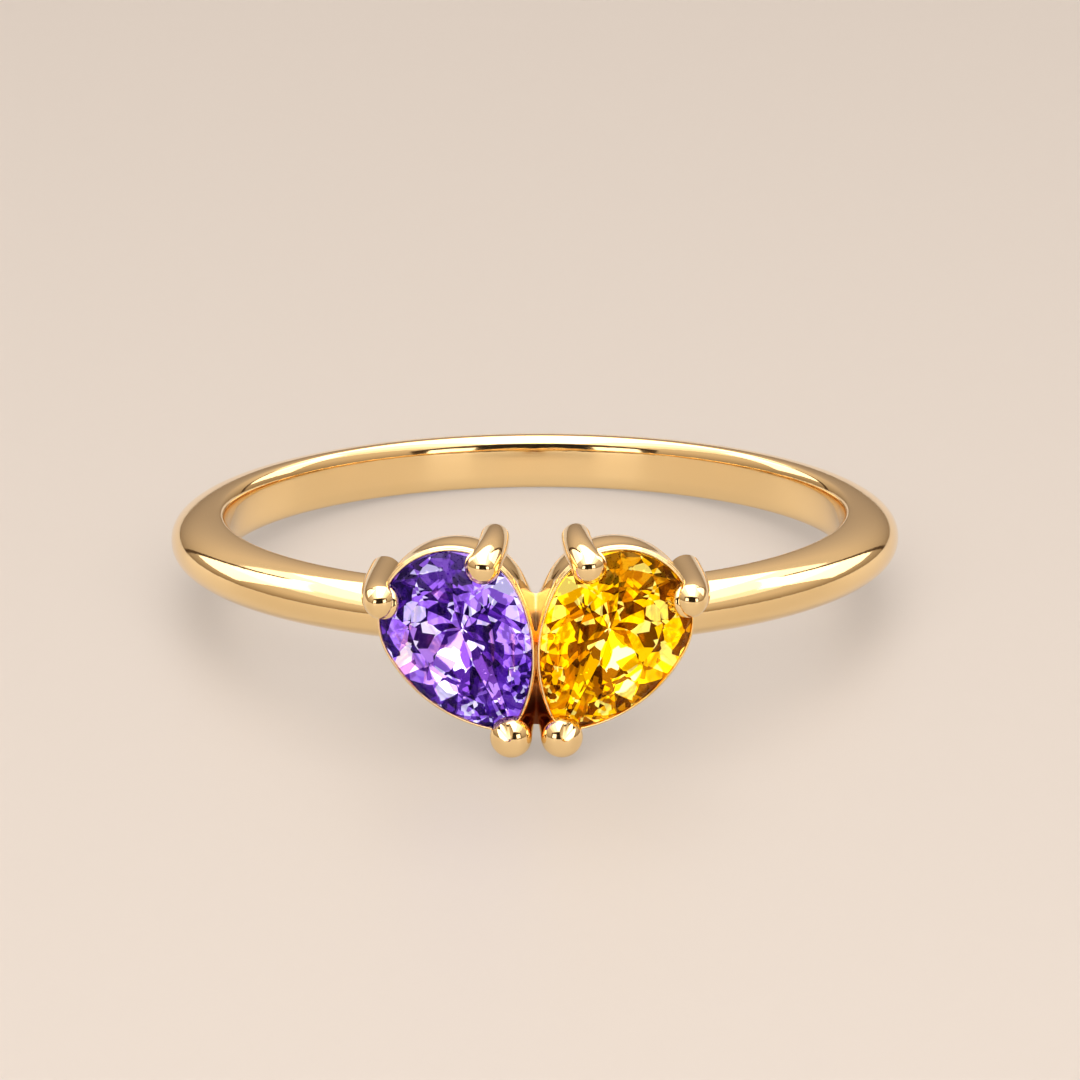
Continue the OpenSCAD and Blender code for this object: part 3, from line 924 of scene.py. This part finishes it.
class Cutter:
    """A pear-shaped block that facet planes cut into a stone. Each facet keeps a tone from 0 to 1."""

    around = 96
    # Height to spare below the pavilion's tip
    spare = MM

    def __init__(self, heart, grow, seed):
        self.heart, self.grow = heart, grow
        self.pear = Pear(heart)
        self.edge = (heart.girdle + grow) / 2
        self.crown, self.pavilion = heart.crown + grow, heart.pavilion + grow
        self.tones = random.Random(seed)
        self.stone = bmesh.new()
        self.tone = self.stone.faces.layers.float.new("tone")
        outline = [self.pear.at(s, grow) for s in Pear.shares(self.around)]
        levels = (-self.pavilion - self.edge - self.spare, self.crown + self.edge)
        corners = [self.stone.verts.new((*p, z)) for z in levels for p in outline]
        for face in capped_faces(2, self.around):
            self.stone.faces.new([corners[i] for i in face])
        bmesh.ops.recalc_face_normals(self.stone, faces=self.stone.faces)

    def facet(self, share, start, end, side):
        """Cuts with the plane over the outline's place at share, through two steps of size and height."""
        out = self.pear.facing(share)
        reach = out.dot(self.pear.at(share, self.grow))
        (size_a, up_a), (size_b, up_b) = start, end
        slope = reach * (size_a - size_b) / (up_b - up_a)
        through = Vector((*(out * reach * size_a), side * (self.edge + up_a)))
        cut = bmesh.ops.bisect_plane(
            self.stone, geom=self.stone.verts[:] + self.stone.edges[:] + self.stone.faces[:], dist=1e-8,
            plane_co=through, plane_no=Vector((out.x, out.y, side * slope)).normalized(), clear_outer=True,
        )
        edges = [e for e in cut["geom_cut"] if isinstance(e, bmesh.types.BMEdge)]
        made = bmesh.ops.edgeloop_fill(self.stone, edges=edges, mat_nr=1 if side < 0 else 0)
        for face in made["faces"]:
            face[self.tone] = self.tones.random()

    def tier(self, side, count, phase, start, end):
        """A round of facets at even shares, turned by phase steps. On side -1 it lies below the girdle."""
        full = self.crown if side > 0 else self.pavilion
        for i in range(count):
            share = ((i + phase) * 2 / count + 1) % 2 - 1
            self.facet(share, (start[0], start[1] * full), (end[0], end[1] * full), side)

    def mesh(self):
        mesh = bpy.data.meshes.new("stone")
        bmesh.ops.remove_doubles(self.stone, verts=self.stone.verts, dist=1e-7)
        bmesh.ops.recalc_face_normals(self.stone, faces=self.stone.faces)
        self.stone.to_mesh(mesh)
        self.stone.free()
        mesh.transform(Matrix.Translation((0, 0, -self.heart.sink - self.heart.girdle / 2)))
        return mesh


def cut_stone(heart, grow=0.0, seed=0):
    """A pear brilliant: 8 kites, 16 halves and 8 stars round its table, 8 mains and 16 halves below."""
    table = heart.table
    # Mains and halves below, then kites, halves and stars above: side, count, phase, and two places of the
    # facets' planes, as shares of the stone's width and of that side's height
    rounds = (
        (-1, 8, 0.0, (1.0, 0.0), (0.0, 1.0)),
        (-1, 16, 0.5, (1.0, 0.0), (0.30, 0.74)),
        (1, 8, 0.0, (1.0, 0.0), (table, 1.0)),
        (1, 16, 0.5, (1.0, 0.0), (1 - (1 - table) * 0.72, 1.0)),
        (1, 8, 0.5, (0.80, 0.52), (table * 0.99, 1.0)),
    )
    cutter = Cutter(heart, grow, seed)
    for side, count, phase, start, end in rounds:
        cutter.tier(side, count, phase, start, end)
    return cutter.mesh()


class RING_OT_stones(bpy.types.Operator):
    """Cut the two stones"""

    bl_idname = "ring.stones"
    bl_label = "Stones"

    seed: IntProperty(name="Seed", description="Which facets are dark and which are light", default=2)

    def execute(self, context):
        scene = context.scene
        for tone, mirror in SIDES.items():
            mesh = cut_stone(scene.ring_heart, 0.0, self.seed)
            place = ring_to_row() @ mirror @ cup_to_ring(scene)
            mesh.transform(place)
            if mirror.determinant() < 0:
                mesh.flip_normals()
            mesh.materials.append(crown_finish(scene, tone))
            mesh.materials.append(painted_sparkle_pavilion_finish(scene, tone, place))
            assign(add(f"{tone}_gem", mesh), f"{tone}_stone")
        return {"FINISHED"}


class StageSettings(bpy.types.PropertyGroup):
    """Floor, camera and lights."""

    lens: number("Lens", "Focal length in millimetres on a 36 mm sensor", 169.27)
    floor: colour("Floor", "Colour of the floor", (0.67, 0.59, 0.53))
    horizon: colour("Horizon", "Light from the lowest part of the studio", (0.32, 0.24, 0.17))
    walls: colour("Walls", "Light from halfway up", (0.78, 0.64, 0.52))
    ceiling: colour("Ceiling", "Light from above", (0.86, 0.79, 0.72))
    softboxes: colour("Softboxes", "Colour of the softboxes", (1, 0.97, 0.93))
    cards: colour("Cards", "Colour of the cards before their shades", (1, 0.6, 0.35))
    world: number("World", "Strength of the light from all round", 1.0)
    power: number("Power", "Strength of all the softboxes", 1.0)


class RING_OT_stage(bpy.types.Operator):
    """Make the floor, the lights and the camera"""

    bl_idname = "ring.stage"
    bl_label = "Stage"

    camera_place = Vector((-0.0001945, -0.1327006, 0.0523022))
    camera_turn = Euler((69.2875 * DEG, 0.2267 * DEG, -0.2310 * DEG))
    floor_width = 2.0
    # Where each softbox stands, as degrees round from the front and up, its distance, width, height and
    # brightness, and the rays that see it
    softboxes = {
        "overhead_softbox": (0, 91, 0.5, 0.5, 1.38, 1.5, ("glossy", "transmission")),
        "wide_overhead_softbox": (0, 91, 0.51, 0.9, 1.4, 0.8, ("glossy", "transmission")),
        "widest_overhead_softbox": (0, 91, 0.52, 1.4, 1.42, 0.6, ("glossy", "transmission")),
        "left_side_softbox": (-124, 30, 0.8, 0.45, 0.5, 1.8, ("glossy",)),
        "right_side_softbox": (124, 30, 0.8, 0.45, 0.5, 1.8, ("glossy",)),
        "key_softbox": (0, 75, 0.6, 0.7, 0.7, 0.6, ("diffuse",)),
        "low_softbox": (0, 28, 0.7, 1.2, 0.5, 7.5, ("diffuse",)),
        "left_softbox": (-33, 12, 0.5, 0.16, 0.15, 2.4, ("glossy",)),
        "right_softbox": (33, 12, 0.5, 0.16, 0.15, 2.4, ("glossy",)),
        "front_softbox": (0, 20, 0.8, 2.0, 0.9, 0.8, ("transmission",)),
    }
    # Cards in the same measures and a shade, seen only in reflections
    cards = {
        "dark_card": (0, 17, 0.58, 0.44, 0.34, 0.01),
        "brown_card": (0, 17, 0.62, 1.35, 0.38, 0.12),
        "left_strip": (-142, 20, 0.7, 0.045, 0.56, 0.10),
        "right_strip": (142, 20, 0.7, 0.045, 0.56, 0.10),
    }

    def execute(self, context):
        scene = context.scene
        settings = scene.ring_stage
        self.floor(settings)
        for name, measures in self.softboxes.items():
            self.softbox(settings, name, *measures)
        for name, measures in self.cards.items():
            self.card(settings, name, *measures)
        self.light_from_all_round(scene, settings)
        self.quality(scene)
        self.camera(scene, settings)
        return {"FINISHED"}

    @staticmethod
    def light_from_all_round(scene, settings):
        """Light that grows from the dim edge of the studio to its pale ceiling."""
        world = bpy.data.worlds.new("studio")
        world.use_nodes = True
        sky = Nodes(world.node_tree)
        way = sky.node("ShaderNodeTexCoord", output="Generated")
        height = sky.node("ShaderNodeSeparateXYZ", {}, {"Vector": way}, output="Z")
        stops = [(0.0, settings.horizon), (0.4, settings.walls), (0.9, settings.ceiling)]
        shade = sky.node("ShaderNodeValToRGB", {"stops": stops}, {"Fac": height})
        sky.fill(world.node_tree.nodes["Background"], {"Color": shade, "Strength": settings.world})
        scene.world = world
        world.cycles_visibility.diffuse = False

    @staticmethod
    def quality(scene):
        scene.view_settings.view_transform = "Standard"
        scene.cycles.caustics_reflective = False
        scene.cycles.caustics_refractive = False
        scene.cycles.max_bounces = 16
        scene.cycles.transmission_bounces = 12
        scene.cycles.glossy_bounces = 8

    @staticmethod
    def aim(turn, rise, distance):
        """Place at a turn from the front and a rise from the floor, in degrees, facing the ring."""
        flat = distance * math.cos(rise * DEG)
        place = Vector((math.sin(turn * DEG), -math.cos(turn * DEG), 0)) * flat
        place.z = distance * math.sin(rise * DEG)
        return Matrix.LocRotScale(place, (-place).to_track_quat("-Z", "Y"), None)

    def softbox(self, settings, name, turn, rise, distance, width, height, brightness, rays):
        light = bpy.data.lights.new(name, "AREA")
        light.shape = "RECTANGLE"
        light.size, light.size_y = width, height
        light.energy = math.pi * width * height * brightness * settings.power
        light.color = settings.softboxes
        light.use_shadow = name != "low_softbox"
        softbox = add(name, light)
        softbox.matrix_world = self.aim(turn, rise, distance)
        softbox.visible_camera = False
        for ray in ("diffuse", "glossy", "transmission"):
            setattr(softbox, f"visible_{ray}", ray in rays)

    def card(self, settings, name, turn, rise, distance, width, height, shade):
        card = rectangle(name, width, height, self.aim(turn, rise, distance))
        tint = [value * shade for value in settings.cards]
        card.data.materials.append(Finish(name, Base_Color=tint, Roughness=1.0).material)
        card.visible_camera = card.visible_shadow = card.visible_diffuse = card.visible_transmission = False

    def camera(self, scene, settings):
        data = bpy.data.cameras.new("camera")
        data.sensor_width = 36
        data.lens = settings.lens
        data.clip_start = 0.01
        scene.camera = add("camera", data)
        scene.camera.location = self.camera_place
        scene.camera.rotation_euler = self.camera_turn

    def floor(self, settings):
        floor = rectangle("floor", self.floor_width, self.floor_width, Matrix.Identity(4))
        finish = Finish("pale_floor", Base_Color=settings.floor, Roughness=0.45, Specular_IOR_Level=0.25)
        floor.data.materials.append(finish.material)


class RING_PT_panel(bpy.types.Panel):
    """Sizes, finishes and pieces of the ring"""

    bl_idname = "RING_PT_panel"
    bl_label = "Heart Ring"
    bl_space_type = "VIEW_3D"
    bl_region_type = "UI"
    bl_category = "Ring"

    def draw(self, context):
        for group in GROUPS:
            box = self.layout.box()
            box.label(text=group.__doc__)
            settings = getattr(context.scene, GROUPS[group])
            for key in group.__annotations__:
                box.prop(settings, key)
        for operator in OPERATORS:
            self.layout.operator(operator.bl_idname)


GROUPS = {
    BandSizes: "ring_band",
    HeartSizes: "ring_heart",
    CupSizes: "ring_cups",
    BridgeSizes: "ring_bridge",
    ClawSizes: "ring_claws",
    Finishes: "ring_finishes",
    StageSettings: "ring_stage",
}
OPERATORS = (RING_OT_band, RING_OT_cups, RING_OT_bridge, RING_OT_claws, RING_OT_stones, RING_OT_stage)


def register():
    for group, name in GROUPS.items():
        bpy.utils.register_class(group)
        setattr(bpy.types.Scene, name, PointerProperty(type=group))
    for kind in (*OPERATORS, RING_PT_panel):
        bpy.utils.register_class(kind)


def unregister():
    for kind in reversed((*OPERATORS, RING_PT_panel)):
        bpy.utils.unregister_class(kind)
    for group, name in reversed(GROUPS.items()):
        delattr(bpy.types.Scene, name)
        bpy.utils.unregister_class(group)


def main():
    register()
    bpy.ops.ring.stage()
    bpy.ops.ring.band()
    bpy.ops.ring.cups()
    bpy.ops.ring.bridge()
    bpy.ops.ring.claws()
    bpy.ops.ring.stones()


if __name__ == "__main__":
    main()
